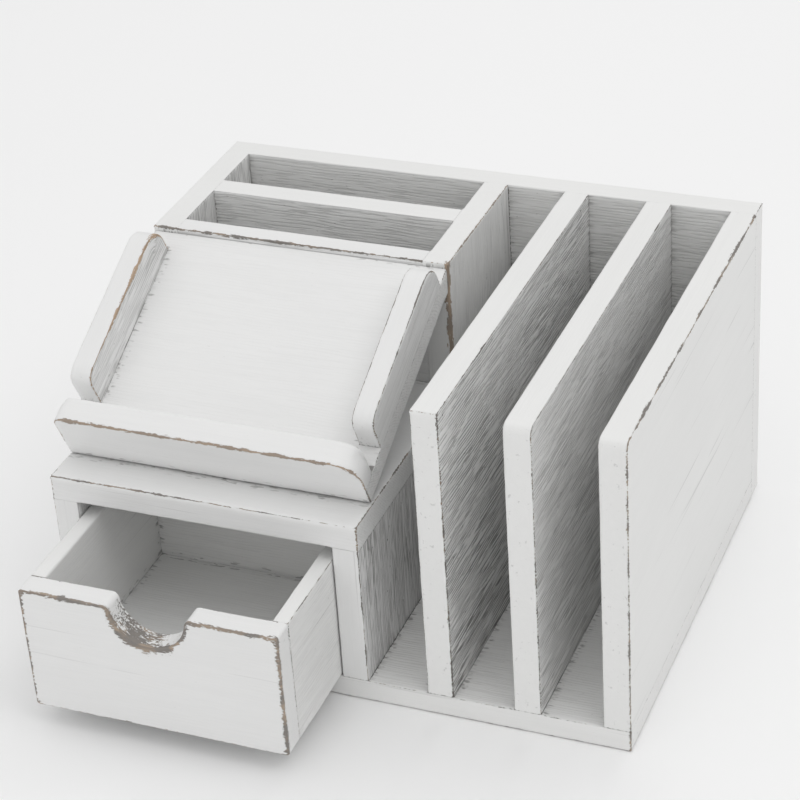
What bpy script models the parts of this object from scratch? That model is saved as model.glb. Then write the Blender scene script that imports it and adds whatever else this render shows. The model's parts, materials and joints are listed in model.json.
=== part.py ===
"""Desk organizer of painted boards: a drawer cabinet with a slanted note tray on top,
a pen box with two compartments behind it, and three upright file slots beside them.

Metres, +Z up. The origin is the middle of the carcass's footprint, on its underside.
+X is towards the file slots and -Y is the front, where the drawer comes out.
Local layouts below are measured from the carcass's front left bottom corner.
"""
import math

import bmesh
import bpy
from mathutils import Matrix, Vector

MM = 0.001

# Stock
BOARD = 10.0 * MM
THIN_BOARD = 8.5 * MM
DRAWER_BOARD = 6.0 * MM
SEAM = 0.3 * MM
SANDED_EDGE = 0.8 * MM

# Carcass
BLOCK_WIDTH = 119.0 * MM
SLOT_WIDTH = 22.4 * MM
DIVIDERS = ("divider_left", "divider_middle", "divider_right")
WIDTH = BLOCK_WIDTH + len(DIVIDERS) * (SLOT_WIDTH + BOARD)
DEPTH = 173.5 * MM
HEIGHT = 126.0 * MM
INNER_DEPTH = DEPTH - BOARD - SEAM
FLOOR = THIN_BOARD + SEAM
DIVIDER_CORNER = 3.0 * MM

# Cabinet and pen box
CABINET_DEPTH = 97.5 * MM
CABINET_HEIGHT = 74.4 * MM
COMPARTMENT_DEPTH = 24.0 * MM

# Drawer, drawn 47 mm out of the cabinet
DRAWER_OUT = 47.0 * MM
DRAWER_PLAY = 0.4 * MM
DRAWER_HEIGHT = 49.8 * MM
DRAWER_LENGTH = 96.6 * MM
DRAWER_FRONT = 9.5 * MM
DRAWER_FLOOR = 4.0 * MM
DRAWER_FLOOR_LIFT = 1.2 * MM
NOTCH_RADIUS = 14.5 * MM
NOTCH_SHOULDER = 2.5 * MM

# Note tray: s runs up its slope, n is square to its panel
TRAY_SLOPE = math.radians(26.0)
TRAY_SETBACK = 15.5 * MM
TRAY_INSET = 0.5 * MM
LIP_HEIGHT = 15.3 * MM
LIP_START = 17.5 * MM
LIP_END = 88.0 * MM
LIP_LOW_CORNER = 5.5 * MM
LIP_HIGH_CORNER = 10.0 * MM
FRONT_LIP_THICKNESS = 10.3 * MM
FRONT_LIP_HEIGHT = 13.8 * MM
FRONT_LIP_LEFT_CORNER = 4.0 * MM
FRONT_LIP_RIGHT_CORNER = 10.0 * MM

# Brads
BRAD_RADIUS = 0.6 * MM
BRAD_HEAD_RADIUS = 0.85 * MM
BRAD_HEAD = 0.5 * MM
BRAD_TIP = 1.8 * MM
BRAD_SET = 0.4 * MM
BRAD_SIDES = 10
BRAD_BORE = BRAD_HEAD_RADIUS + SEAM

# Colours and roughness
WHITE_PAINT = (0.83, 0.83, 0.82)
INSIDE_PAINT = (0.74, 0.745, 0.74)
STEEL = (0.55, 0.56, 0.57)

ARC_STEPS = 6
NOTCH_STEPS = 18

X_AXIS = Vector((1, 0, 0))
Y_AXIS = Vector((0, 1, 0))
Z_AXIS = Vector((0, 0, 1))
CORNER = Vector((-WIDTH / 2, -DEPTH / 2, 0))


def clear_scene():
    for thing in list(bpy.data.objects):
        bpy.data.objects.remove(thing)


def finish_material(name, colour, roughness, metallic=0.0):
    material = bpy.data.materials.new(name)
    material.use_nodes = True
    shader = material.node_tree.nodes["Principled BSDF"]
    shader.inputs["Base Color"].default_value = (*colour, 1.0)
    shader.inputs["Roughness"].default_value = roughness
    shader.inputs["Metallic"].default_value = metallic
    return material


def place(name, mesh, colour, roughness, metallic, location, rotation, parent):
    """Link the mesh as an object, at a world place, under its parent."""
    thing = bpy.data.objects.new(name, mesh)
    bpy.context.scene.collection.objects.link(thing)
    mesh.materials.append(finish_material(name + "_finish", colour, roughness, metallic))
    thing.location = location
    thing.rotation_euler = rotation.to_euler()
    if parent is not None:
        thing.parent = parent
        thing.location = Vector(location) - parent.location
    return thing


def sand_edges(thing, width=SANDED_EDGE):
    bevel = thing.modifiers.new("sanded_edges", "BEVEL")
    bevel.width = width
    bevel.segments = 2
    bevel.limit_method = "ANGLE"
    bevel.angle_limit = math.radians(40)


def board(name, x, y, z, colour=WHITE_PAINT, parent=None):
    """A straight board between two corners, given from the carcass's corner."""
    size = Vector((x[1] - x[0], y[1] - y[0], z[1] - z[0]))
    centre = CORNER + Vector((x[0] + x[1], y[0] + y[1], z[0] + z[1])) / 2
    shape = bmesh.new()
    bmesh.ops.create_cube(shape, size=1.0)
    bmesh.ops.scale(shape, vec=size, verts=shape.verts)
    mesh = bpy.data.meshes.new(name)
    shape.to_mesh(mesh)
    shape.free()
    thing = place(name, mesh, colour, 0.55, 0.0, centre, Matrix.Identity(3), parent)
    sand_edges(thing)
    return thing


def slab(name, outline, thickness, origin, across, up, parent=None):
    """A board cut to an outline in the (across, up) plane, and thick the third way.

    The outline lies on one face of the slab, whose other face is at across x up times the thickness."""
    shape = bmesh.new()
    corners = [shape.verts.new((u, v, 0)) for u, v in outline]
    face = shape.faces.new(corners)
    made = bmesh.ops.extrude_face_region(shape, geom=[face])
    lifted = [item for item in made["geom"] if isinstance(item, bmesh.types.BMVert)]
    bmesh.ops.translate(shape, vec=(0, 0, thickness), verts=lifted)
    bmesh.ops.recalc_face_normals(shape, faces=shape.faces)
    mesh = bpy.data.meshes.new(name)
    shape.to_mesh(mesh)
    shape.free()
    through = across.cross(up)
    turn = Matrix((across, up, through)).transposed()
    thing = place(name, mesh, WHITE_PAINT, 0.55, 0.0, CORNER + origin, turn, parent)
    sand_edges(thing)
    return thing


def arc(centre, radius, start, end, steps=ARC_STEPS):
    """Points along an arc in degrees, both ends included."""
    points = []
    for i in range(steps + 1):
        angle = math.radians(start + (end - start) * i / steps)
        points.append((centre[0] + radius * math.cos(angle), centre[1] + radius * math.sin(angle)))
    return points


def two_corner_outline(length, height, low_corner, high_corner):
    """A rectangle whose two upper corners are rounded."""
    points = [(0, 0), (length, 0)]
    points += arc((length - high_corner, height - high_corner), high_corner, 0, 90)
    points += arc((low_corner, height - low_corner), low_corner, 90, 180)
    return points


def notched_outline(width, height):
    """A drawer front with a half-round notch in the middle of its top edge, on rounded shoulders."""
    reach = math.sqrt((NOTCH_RADIUS + NOTCH_SHOULDER) ** 2 - NOTCH_SHOULDER ** 2)
    lean = math.degrees(math.asin(NOTCH_SHOULDER / (NOTCH_RADIUS + NOTCH_SHOULDER)))
    middle = width / 2
    shoulder_height = height - NOTCH_SHOULDER
    points = [(0, 0), (width, 0), (width, height)]
    points += arc((middle + reach, shoulder_height), NOTCH_SHOULDER, 90, 180 - lean, 5)
    points += arc((middle, height), NOTCH_RADIUS, -lean, lean - 180, NOTCH_STEPS)[1:-1]
    points += arc((middle - reach, shoulder_height), NOTCH_SHOULDER, lean, 90, 5)
    points.append((0, height))
    return points


def turned(name, profile, sides):
    """A closed solid turned about +Z from (radius, height) rings, ending in points where the radius is 0."""
    shape = bmesh.new()
    rings = []
    for radius, height in profile:
        if radius == 0:
            rings.append([shape.verts.new((0, 0, height))])
            continue
        ring = []
        for i in range(sides):
            angle = 2 * math.pi * i / sides
            ring.append(shape.verts.new((radius * math.cos(angle), radius * math.sin(angle), height)))
        rings.append(ring)
    for lower, upper in zip(rings, rings[1:]):
        for i in range(sides):
            j = (i + 1) % sides
            corners = [lower[i % len(lower)], lower[j % len(lower)], upper[j % len(upper)], upper[i % len(upper)]]
            shape.faces.new(list(dict.fromkeys(corners)))
    bmesh.ops.recalc_face_normals(shape, faces=shape.faces)
    mesh = bpy.data.meshes.new(name)
    shape.to_mesh(mesh)
    shape.free()
    mesh.shade_smooth()
    mesh.set_sharp_from_angle(angle=math.radians(35))
    return mesh


def brad(name, start, direction, length, outer, inner, parent=None):
    """A nail set into the outer board's face at start, through it and into the inner board.

    Both boards get a bore for it, a seam's width clear of its head."""
    turn = Z_AXIS.rotation_difference(direction).to_matrix()
    outline = [(0, 0), (BRAD_HEAD_RADIUS, 0), (BRAD_HEAD_RADIUS, BRAD_HEAD), (BRAD_RADIUS, BRAD_HEAD)]
    outline += [(BRAD_RADIUS, length - BRAD_TIP), (0, length)]
    head_place = CORNER + start + direction * BRAD_SET
    mesh = turned(name, outline, BRAD_SIDES)
    place(name, mesh, STEEL, 0.35, 1.0, head_place, turn, parent)
    bore_length = length + 2 * SEAM
    bore_outline = [(0, -1 * MM), (BRAD_BORE, -1 * MM), (BRAD_BORE, bore_length), (0, bore_length)]
    cutter = place(name + "_bore", turned(name + "_bore", bore_outline, BRAD_SIDES),
                   STEEL, 0.5, 0.0, head_place, turn, parent)
    cutter.hide_render = True
    cutter.display_type = "WIRE"
    for target in (outer, inner):
        cut = target.modifiers.new(name, "BOOLEAN")
        cut.operation = "DIFFERENCE"
        cut.solver = "EXACT"
        cut.object = cutter


def make_carcass():
    """The base, the back and the three dividers."""
    boards = {}
    boards["base"] = board("base_board", (0, WIDTH), (0, INNER_DEPTH), (0, THIN_BOARD))
    boards["back"] = board("back_board", (0, WIDTH), (DEPTH - BOARD, DEPTH), (0, HEIGHT), INSIDE_PAINT)
    for number, name in enumerate(DIVIDERS):
        right_face = BLOCK_WIDTH + (number + 1) * (SLOT_WIDTH + BOARD)
        height = HEIGHT - FLOOR
        outline = [(0, 0), (INNER_DEPTH, 0), (INNER_DEPTH, height)]
        outline += arc((DIVIDER_CORNER, height - DIVIDER_CORNER), DIVIDER_CORNER, 90, 180)
        corner = Vector((right_face - BOARD, 0, FLOOR))
        boards[name] = slab(name, outline, BOARD, corner, Y_AXIS, Z_AXIS)
    return boards


def make_cabinet():
    """Two sides and a top that covers them."""
    boards = {}
    sides_top = CABINET_HEIGHT - BOARD - SEAM
    depth = (0, CABINET_DEPTH - SEAM)
    boards["left"] = board("cabinet_left_side", (0, BOARD), depth, (FLOOR, sides_top))
    boards["right"] = board("cabinet_right_side", (BLOCK_WIDTH - BOARD, BLOCK_WIDTH), depth, (FLOOR, sides_top))
    boards["top"] = board("cabinet_top", (0, BLOCK_WIDTH), depth, (CABINET_HEIGHT - BOARD, CABINET_HEIGHT))
    return boards


def make_pen_box():
    """Two sides, and a front and a partition between them. The base and the back close the box."""
    boards = {}
    height = (FLOOR, HEIGHT)
    depth = (CABINET_DEPTH, INNER_DEPTH)
    between = (BOARD + SEAM, BLOCK_WIDTH - BOARD - SEAM)
    boards["left"] = board("pen_box_left_side", (0, BOARD), depth, height, INSIDE_PAINT)
    boards["right"] = board("pen_box_right_side", (BLOCK_WIDTH - BOARD, BLOCK_WIDTH), depth, height, INSIDE_PAINT)
    front = (CABINET_DEPTH, CABINET_DEPTH + THIN_BOARD)
    boards["front"] = board("pen_box_front", between, front, height)
    partition = (front[1] + COMPARTMENT_DEPTH, front[1] + COMPARTMENT_DEPTH + BOARD)
    boards["partition"] = board("pen_box_partition", between, partition, height, INSIDE_PAINT)
    boards["front_middle"] = sum(front) / 2
    boards["partition_middle"] = sum(partition) / 2
    return boards


def make_tray():
    """A panel leaning on the pen box, with a lip along its foot and one along each side."""
    up_slope = Vector((0, math.cos(TRAY_SLOPE), math.sin(TRAY_SLOPE)))
    off_panel = Vector((0, -math.sin(TRAY_SLOPE), math.cos(TRAY_SLOPE)))
    foot = Vector((TRAY_INSET, TRAY_SETBACK, CABINET_HEIGHT + SEAM))
    width = BLOCK_WIDTH - 2 * TRAY_INSET
    run = CABINET_DEPTH - SEAM - TRAY_SETBACK
    under_end = run / math.cos(TRAY_SLOPE)
    upper_end = under_end + THIN_BOARD * math.tan(TRAY_SLOPE)
    boards = {}
    panel_outline = [(0, 0), (under_end, 0), (upper_end, THIN_BOARD), (0, THIN_BOARD)]
    boards["panel"] = slab("tray_panel", panel_outline, width, foot, up_slope, off_panel)
    deck = foot + off_panel * (THIN_BOARD + SEAM)
    lip_outline = two_corner_outline(LIP_END - LIP_START, LIP_HEIGHT, LIP_LOW_CORNER, LIP_HIGH_CORNER)
    lip_foot = deck + up_slope * LIP_START
    boards["left"] = slab("tray_left_lip", lip_outline, THIN_BOARD, lip_foot, up_slope, off_panel)
    right_foot = lip_foot + X_AXIS * (width - THIN_BOARD)
    boards["right"] = slab("tray_right_lip", lip_outline, THIN_BOARD, right_foot, up_slope, off_panel)
    front_corners = (FRONT_LIP_LEFT_CORNER, FRONT_LIP_RIGHT_CORNER)
    front_outline = two_corner_outline(width, FRONT_LIP_HEIGHT, *front_corners)
    front_foot = deck + up_slope * FRONT_LIP_THICKNESS
    boards["front"] = slab("tray_front_lip", front_outline, FRONT_LIP_THICKNESS, front_foot, X_AXIS, off_panel)
    boards["foot"] = foot
    boards["width"] = width
    boards["up_slope"] = up_slope
    boards["off_panel"] = off_panel
    return boards


def make_drawer():
    """The drawer's five boards, under an empty on the axis that it slides along."""
    left = BOARD + DRAWER_PLAY
    right = BLOCK_WIDTH - BOARD - DRAWER_PLAY
    front = -DRAWER_OUT
    back = front + DRAWER_LENGTH
    bottom = FLOOR
    slide = bpy.data.objects.new("drawer_slide", None)
    bpy.context.scene.collection.objects.link(slide)
    slide.location = CORNER + Vector(((left + right) / 2, front, bottom))
    boards = {"slide": slide, "left_face": left, "right_face": right, "front_face": front, "back_face": back}
    outline = notched_outline(right - left, DRAWER_HEIGHT)
    front_origin = Vector((left, front + DRAWER_FRONT, bottom))
    boards["front"] = slab("drawer_front", outline, DRAWER_FRONT, front_origin, X_AXIS, Z_AXIS, slide)
    depth = (front + DRAWER_FRONT + SEAM, back)
    height = (bottom, bottom + DRAWER_HEIGHT)
    inside = (left + DRAWER_BOARD + SEAM, right - DRAWER_BOARD - SEAM)
    boards["left"] = board("drawer_left_side", (left, left + DRAWER_BOARD), depth, height, parent=slide)
    boards["right"] = board("drawer_right_side", (right - DRAWER_BOARD, right), depth, height, parent=slide)
    boards["back"] = board("drawer_back", inside, (back - DRAWER_BOARD, back), height, parent=slide)
    floor_depth = (depth[0], back - DRAWER_BOARD - SEAM)
    floor_height = (bottom + DRAWER_FLOOR_LIFT, bottom + DRAWER_FLOOR_LIFT + DRAWER_FLOOR)
    boards["bottom"] = board("drawer_bottom", inside, floor_depth, floor_height, INSIDE_PAINT, slide)
    return boards


def nail_carcass(carcass, cabinet, pen_box):
    """Brads up through the base, forward through the back, down through the top and across the pen box."""
    half = BOARD / 2
    length = 24 * MM
    for number, name in enumerate(DIVIDERS):
        x = BLOCK_WIDTH + (number + 1) * (SLOT_WIDTH + BOARD) - half
        for end, y in (("front", 0.2 * DEPTH), ("rear", 0.75 * DEPTH)):
            brad(f"brad_base_{name}_{end}", Vector((x, y, 0)), Z_AXIS, length, carcass["base"], carcass[name])
        for end, z in (("low", 0.25 * HEIGHT), ("high", 0.75 * HEIGHT)):
            brad(f"brad_back_{name}_{end}", Vector((x, DEPTH, z)), -Y_AXIS, length, carcass["back"], carcass[name])
    for side, x in (("left", half), ("right", BLOCK_WIDTH - half)):
        foot = Vector((x, CABINET_DEPTH / 2, 0))
        brad(f"brad_base_cabinet_{side}", foot, Z_AXIS, length, carcass["base"], cabinet[side])
        for end, z in (("low", 0.25 * HEIGHT), ("high", 0.75 * HEIGHT)):
            start = Vector((x, DEPTH, z))
            brad(f"brad_back_pen_box_{side}_{end}", start, -Y_AXIS, length, carcass["back"], pen_box[side])
        for end, y in (("front", 0.35 * CABINET_DEPTH), ("rear", 0.8 * CABINET_DEPTH)):
            start = Vector((x, y, CABINET_HEIGHT))
            brad(f"brad_top_{side}_{end}", start, -Z_AXIS, length, cabinet["top"], cabinet[side])
    for side, x, inward in (("left", 0, X_AXIS), ("right", BLOCK_WIDTH, -X_AXIS)):
        for inner in ("front", "partition"):
            start = Vector((x, pen_box[inner + "_middle"], 0.8 * HEIGHT))
            brad(f"brad_pen_box_{inner}_{side}", start, inward, length, pen_box[side], pen_box[inner])


def nail_tray(tray):
    """Brads from under the panel into its three lips."""
    length = 16 * MM
    foot = tray["foot"]
    up_slope = tray["up_slope"]
    off_panel = tray["off_panel"]
    half_lip = THIN_BOARD / 2
    for side, x in (("left", half_lip), ("right", tray["width"] - half_lip)):
        for end, share in (("low", 0.2), ("high", 0.75)):
            along = LIP_START + share * (LIP_END - LIP_START)
            start = foot + X_AXIS * x + up_slope * along
            brad(f"brad_tray_{side}_{end}", start, off_panel, length, tray["panel"], tray[side])
    for side, share in (("left", 0.25), ("right", 0.75)):
        start = foot + X_AXIS * tray["width"] * share + up_slope * (FRONT_LIP_THICKNESS / 2)
        brad(f"brad_tray_front_{side}", start, off_panel, length, tray["panel"], tray["front"])


def nail_drawer(drawer):
    """Brads through the front into the sides, and through the sides into the back."""
    half = DRAWER_BOARD / 2
    slide = drawer["slide"]
    for side, x in (("left", drawer["left_face"] + half), ("right", drawer["right_face"] - half)):
        for end, share in (("low", 0.25), ("high", 0.75)):
            start = Vector((x, drawer["front_face"], FLOOR + share * DRAWER_HEIGHT))
            brad(f"brad_drawer_front_{side}_{end}", start, Y_AXIS, 20 * MM, drawer["front"], drawer[side], slide)
    for side, x, inward in (("left", drawer["left_face"], X_AXIS), ("right", drawer["right_face"], -X_AXIS)):
        start = Vector((x, drawer["back_face"] - half, FLOOR + DRAWER_HEIGHT / 2))
        brad(f"brad_drawer_back_{side}", start, inward, 16 * MM, drawer[side], drawer["back"], slide)


clear_scene()
carcass = make_carcass()
cabinet = make_cabinet()
pen_box = make_pen_box()
tray = make_tray()
drawer = make_drawer()
nail_carcass(carcass, cabinet, pen_box)
nail_tray(tray)
nail_drawer(drawer)
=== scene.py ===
"""Looks for the desk organizer: hand-sanded boards under white paint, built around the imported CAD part.

Every board is a denser copy of its CAD node, with eased, uneven edges, closed seams and pits over its nails.
Mesh work is in millimetres and in each board's own frame, centred on the board: x runs across, y runs back or
up the tray's slope, and z is up or square to that slope.
"""
import itertools
import json
import math

import bpy
import numpy as np
from mathutils import Matrix, Vector
from mathutils.geometry import delaunay_2d_cdt

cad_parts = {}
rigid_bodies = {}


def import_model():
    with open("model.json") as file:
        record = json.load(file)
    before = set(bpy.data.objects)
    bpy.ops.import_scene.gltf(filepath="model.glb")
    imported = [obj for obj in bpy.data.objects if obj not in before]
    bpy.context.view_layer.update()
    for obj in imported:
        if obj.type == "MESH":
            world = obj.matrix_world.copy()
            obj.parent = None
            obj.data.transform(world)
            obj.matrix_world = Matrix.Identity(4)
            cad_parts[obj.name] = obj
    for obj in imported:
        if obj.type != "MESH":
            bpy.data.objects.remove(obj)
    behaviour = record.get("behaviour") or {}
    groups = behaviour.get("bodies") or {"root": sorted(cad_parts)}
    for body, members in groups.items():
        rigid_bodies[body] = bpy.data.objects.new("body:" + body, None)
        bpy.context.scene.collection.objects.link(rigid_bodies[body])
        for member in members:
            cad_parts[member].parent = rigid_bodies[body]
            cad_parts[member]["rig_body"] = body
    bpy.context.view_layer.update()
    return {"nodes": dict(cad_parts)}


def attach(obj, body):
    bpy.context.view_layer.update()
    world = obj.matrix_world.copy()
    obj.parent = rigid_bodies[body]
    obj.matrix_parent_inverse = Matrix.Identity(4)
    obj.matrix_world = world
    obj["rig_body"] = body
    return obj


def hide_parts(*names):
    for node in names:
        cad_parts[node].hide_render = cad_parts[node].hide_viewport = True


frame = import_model()

MM = 0.001
TRAY_SLOPE = math.radians(26.0)
AXES = "xyz"
SIGNS = (-1, 1)
EDGE_PAIRS = ((0, 1), (0, 2), (1, 2))

# Camera: place and clipping in metres, angles in degrees, lens and sensor in millimetres
CAMERA_PLACE = (0.3049, -0.7194, 0.5503)
CAMERA_AZIMUTH = 23.44
CAMERA_ELEVATION = 31.40
CAMERA_ROLL = -3.98
CAMERA_LENS = 110.94
CAMERA_SENSOR = 36.0
CAMERA_CLIP = 0.01

# How far the floor lies under the base and how far it reaches, in metres
FLOOR_GAP = 0.0001
FLOOR_REACH = 8.0

# Sky brightness: at the horizon, and overhead from where the direction of view rises this steeply
HORIZON = 0.385
ZENITH = 0.95
ZENITH_HEIGHT = 0.9

# Soft lamps: name, place and disk size in metres, and power in watts
LAMP_TARGET = (0, 0, 0.05)
LAMPS = (
    ("overhead", (0.20, 0.85, 1.35), 0.8, 1.7),
    ("front_fill", (-0.45, -1.80, 0.30), 1.0, 2.7),
    ("right_fill", (0.85, -0.30, 1.45), 0.9, 2.9),
)

# The two paints: their colour, the colour of the shade between brush marks, and how strongly that shows
WORN_LOOK = ((0.85, 0.85, 0.845), (0.36, 0.355, 0.345), 0.70)
BRUSHED_LOOK = ((0.85, 0.85, 0.84), (0.22, 0.215, 0.21), 0.62)

# How bright the paint's cloudier parts are beside the rest
CLOUDED = 0.975

# Colours of what shows through or lies on the paint
SPECK = (0.20, 0.19, 0.18)
DIRT = (0.17, 0.165, 0.155)
TIMBER = (0.41, 0.33, 0.26)
TIMBER_GRAIN = (0.28, 0.24, 0.205)
TIMBER_AGED = (0.22, 0.21, 0.20)
TIMBER_FRESH = (0.56, 0.41, 0.29)

# Colours of the brads and the floor
BRIGHT_STEEL = (0.52, 0.53, 0.54)
RUST = (0.30, 0.22, 0.17)
SMEARED_PAINT = (0.75, 0.75, 0.74)
FLOOR_PALE = (0.96, 0.96, 0.96)
FLOOR_DARKER = (0.94, 0.94, 0.94)

# From here on lengths are in millimetres. The gap that the CAD leaves between glued boards is closed where
# this share of a face's spots is found inside another board when they are moved out by the probe
SEAM = 0.3
SEAM_PROBE = SEAM + 0.15
SEAM_SHARE = 0.85
SEAM_SPOTS = np.linspace(-0.9, 0.9, 7)

# Spacing of the boards' lattices: over their faces, in from their edges, and to both sides of a nail
GRID_STEP = 2.2
EDGE_GRID = (0.0, 0.25, 0.6, 1.1, 1.8, 3.0)
EDGE_GRID_REACH = 3.1
NAIL_GRID = (-1.9, -1.3, -1.0, -0.7, -0.3, 0.3, 0.7, 1.0, 1.3, 1.9)
NAIL_GRID_CLEARANCE = 0.35
NAIL_GRID_INSET = 0.2

# Edges: their usual rounding and its limits, the size of their slow and quick unevenness, and how far outside
# an edge to look for the board beside it
EDGE_RADIUS = 0.75
RADIUS_LIMITS = (0.3, 1.8)
SLOW_EDGE = 24.0
QUICK_EDGE = 6.5
EDGE_SEED = 11
EDGE_PROBE = 0.5

# How much an edge's rounding varies slowly and quickly, and how much a millimetre of wear adds to it
ROUNDING_SLOW = 0.12
ROUNDING_QUICK = 0.10
ROUNDING_WEAR = 0.20

# How much a rubbed band's width varies, slowly and quickly, and how crisp an unbroken bare line is
BAND_SLOW = 0.6
BAND_QUICK = 0.4
BAND_UNEVEN = 0.5
LINE_CRISPNESS = 5.0

# Faces: how deep and how wide their dips are, and how far in from the rim they fade out
WAVINESS = 0.12
RIPPLE_SIZE = 38.0
RIPPLE_RIM = 8.0
SHARP_ANGLE = math.radians(40)

# How near a point has to be to count as on a face, and how near two nails' places count as one
ON_FACE = 0.01
SAME_PLACE = 0.05

# Stand-ins for margins and distances too large to matter
FAR = -10.0
CLEAR = 10.0

# How far over a face to look for a board that stands on it
CORNER_PROBES = (0.3, 3.0)

# Pits over the nail heads: half the width of the patch that is shaped, of the ring where the lattice turns
# from square to round and of the pit's mouth, and how wide the pit's wall is
NAIL_PATCH = 1.95
NAIL_OUTER = 1.9
NAIL_FADE = 0.6
NAIL_MOUTH = 1.30
NAIL_WALL = 0.3

# A brad is under a face if it is this far in from the board's sides and its end is this deep
NAIL_MARGIN = 1.5
NAIL_COVER = (0.2, 0.8)

# Drawer front: its notch, its rim's lattice and rounding, and the lattice of its faces
NOTCH_RADIUS = 14.5
NOTCH_SHOULDER = 2.5
RIM_GRID = (0.0, 0.2, 0.45, 0.75)
RIM_RADIUS = 0.7
PANEL_CORNER = 1.0
CORNER_STEPS = 5
SHOULDER_STEPS = 8
NOTCH_STEPS = 40
OUTLINE_STEP = 1.6
CAP_STEP = 2.0
CAP_EDGE = 3.0
RIM_MIDDLE_STEPS = 7
QUICK_RIM = 5.0

# Where the drawer's sides meet the back of its front, which is left almost sharp there
SIDE_CONTACT = 6.3
SIDE_RADIUS = 0.02

# How far paint is rubbed back around the drawer front, and the back's share of it. Each side has its amount
# at the foot, and what is added by the top
BACK_WEAR = 0.15
FOOT_WEAR = 0.32
TOP_WEAR = 0.95
LEFT_WEAR = (0.60, 1.10)
RIGHT_WEAR = (0.55, 0.70)
NOTCH_WEAR = 1.55
SHOULDER_WEAR = 1.4
SHOULDER_REACH = 5.0

# Which of the outline counts as the notch, the top and the sides, and how uneven its wear and rounding are
NOTCH_REACH = 0.1
TOP_REACH = 2.6
SIDE_REACH = 1.3
FRONT_BAND_SLOW = 0.22
FRONT_BAND_QUICK = 0.16
FRONT_ROUNDING = 0.8
FRONT_ROUNDING_UNEVEN = 0.12
FRONT_ROUNDING_LEAST = 0.35

# How nearly bare the inside of the notch is, on average and in its slow unevenness
NOTCH_INSIDE = (-0.16, 0.12)

# The dips in the drawer front's faces: their size, and how far in from a face they still count
FRONT_RIPPLE_SIZE = 30.0
FRONT_RIPPLE_REACH = 0.3

# How far dirt reaches out of the inner joints: the drawer's are cleaner
JOINT = 0.26
DRAWER_JOINT = 0.0

# The same for joints whose two faces are level: filled ones, those along the base's front, and the rest.
# The boards that stand on the base have their feet lower than this
FILLED_JOINT = -0.8
BASE_FRONT_JOINT = 0.22
LEVEL_JOINT = 0.08
LOWEST_FOOT = 10.0

# How near to another board the shader's dirt starts
CORNER_DIRT = 0.22

# Distance between the marks of the brush's bristles, and how much they wander
BRISTLE_PITCH = 1.28
BRISTLE_SWAY = 15.0

# Noise in the paint: waves per millimetre along the grain and both ways across it, detail, roughness, warp
PAINT_NOISE = {
    "sway": ((0.030, 0.11, 0.11), 1.0),
    "gaps": ((0.075, 0.95, 0.95), 1.0),
    "fine": ((0.055, 0.75, 0.75), 3.0, 0.55, 0.1),
    "wide": ((0.022, 0.42, 0.42), 3.0, 0.6, 0.5),
    "cloud": ((0.02, 0.03, 0.03), 2.0),
    "patch": ((0.03, 0.07, 0.07), 2.0),
    "ragged": ((0.8, 1.8, 1.8), 3.0, 0.6),
    "tears": ((0.28, 1.3, 1.3), 3.0, 0.6),
    "drift": ((0.10, 0.16, 0.16), 2.0),
    "grit": ((2.2, 3.5, 3.5), 2.0, 0.6),
    "hair": ((0.012, 0.60, 0.60), 2.0, 0.5, 0.2),
    "speck": ((0.5, 1.2, 1.2), 1.0),
    "nick": ((0.24, 0.85, 0.85), 1.0),
}

# Where each part of the paint starts and is complete: on its noise, or on the measure named after it
PAINT_STEP = {
    "bare": (-0.06, 0.08),
    "comb": (0.30, 0.80),
    "gaps": (0.40, 0.50),
    "fine": (0.57, 0.63),
    "coverage": (0.36, 0.60),
    "smudge": (0.54, 0.66),
    "hair": (0.66, 0.75),
    "hair_steepness": (0.8, 0.5),
    "speck": (0.745, 0.79),
    "corner_darkening": (0.46, 0.60),
    "corner_darkening_distance": (2.8, 0.2),
    "nick": (0.60, 0.65),
    "nick_distance": (3.0, 1.2),
    "nick_brushed": (0.34, 0.16),
    "tone": (0.32, 0.68),
    "timber_grain": (0.40, 0.62),
    "timber_aged": (0.44, 0.58),
    "dirt": (-0.06, 0.10),
}

# How strongly parts of the paint show
PAINT_SHARE = {"fine": 0.80, "smudge": 0.20, "hair": 0.26, "nick": 0.60, "timber_aged": 0.85, "dirt": 0.85}

# Amounts that grow from a start with another measure: slope, then start
PAINT_LINE = {
    "coverage": (0.60, 0.40),
    "speck": (0.8, 0.04),
    "corner_darkening": (0.5, 0.16),
    "roughness": (0.12, 0.40),
}
SMOOTH_RELIEF = 0.015

# Noise that makes margins ragged: its middle, and how far it moves them
MARGIN_NOISE = {"ragged": (0.5, 1.1), "drift": (0.5, 1.0), "tears": (0.5, 1.5), "dirt": (0.54, 1.3)}

# Mixtures of two noises, and how rough grit and bare timber are
STROKES_MIX = (0.72, 0.28)
TONE_MIX = (0.5, 0.5)
ROUGHNESS_MIX = (0.16, 0.18)
PAINT_SPECULAR = 0.35

# Heights of the paint's parts, in millimetres
PAINT_HEIGHT = {
    "ridge": -0.30, "fine": -0.40, "wide": -0.25, "bare": -0.14, "dirt": -0.12, "grit": 0.010, "speck": -0.12,
    "nick": -0.10,
}

# The brads' steel: noise in waves per metre and its detail, and the height of its drawn lines in millimetres
STEEL_NOISE = {
    "blotch": ((900.0, 900.0, 900.0), 3.0),
    "drawn": ((4000.0, 4000.0, 300.0), 2.0),
    "smear": ((500.0, 500.0, 500.0), 2.0),
}
STEEL_RELIEF = 0.04

# How far paint is rubbed back along an edge that isn't listed, and how brushed a face that isn't listed is
UNWORN = -0.6
UNBRUSHED = 0.02
FRONT_BRUSHED = 0.03

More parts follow.
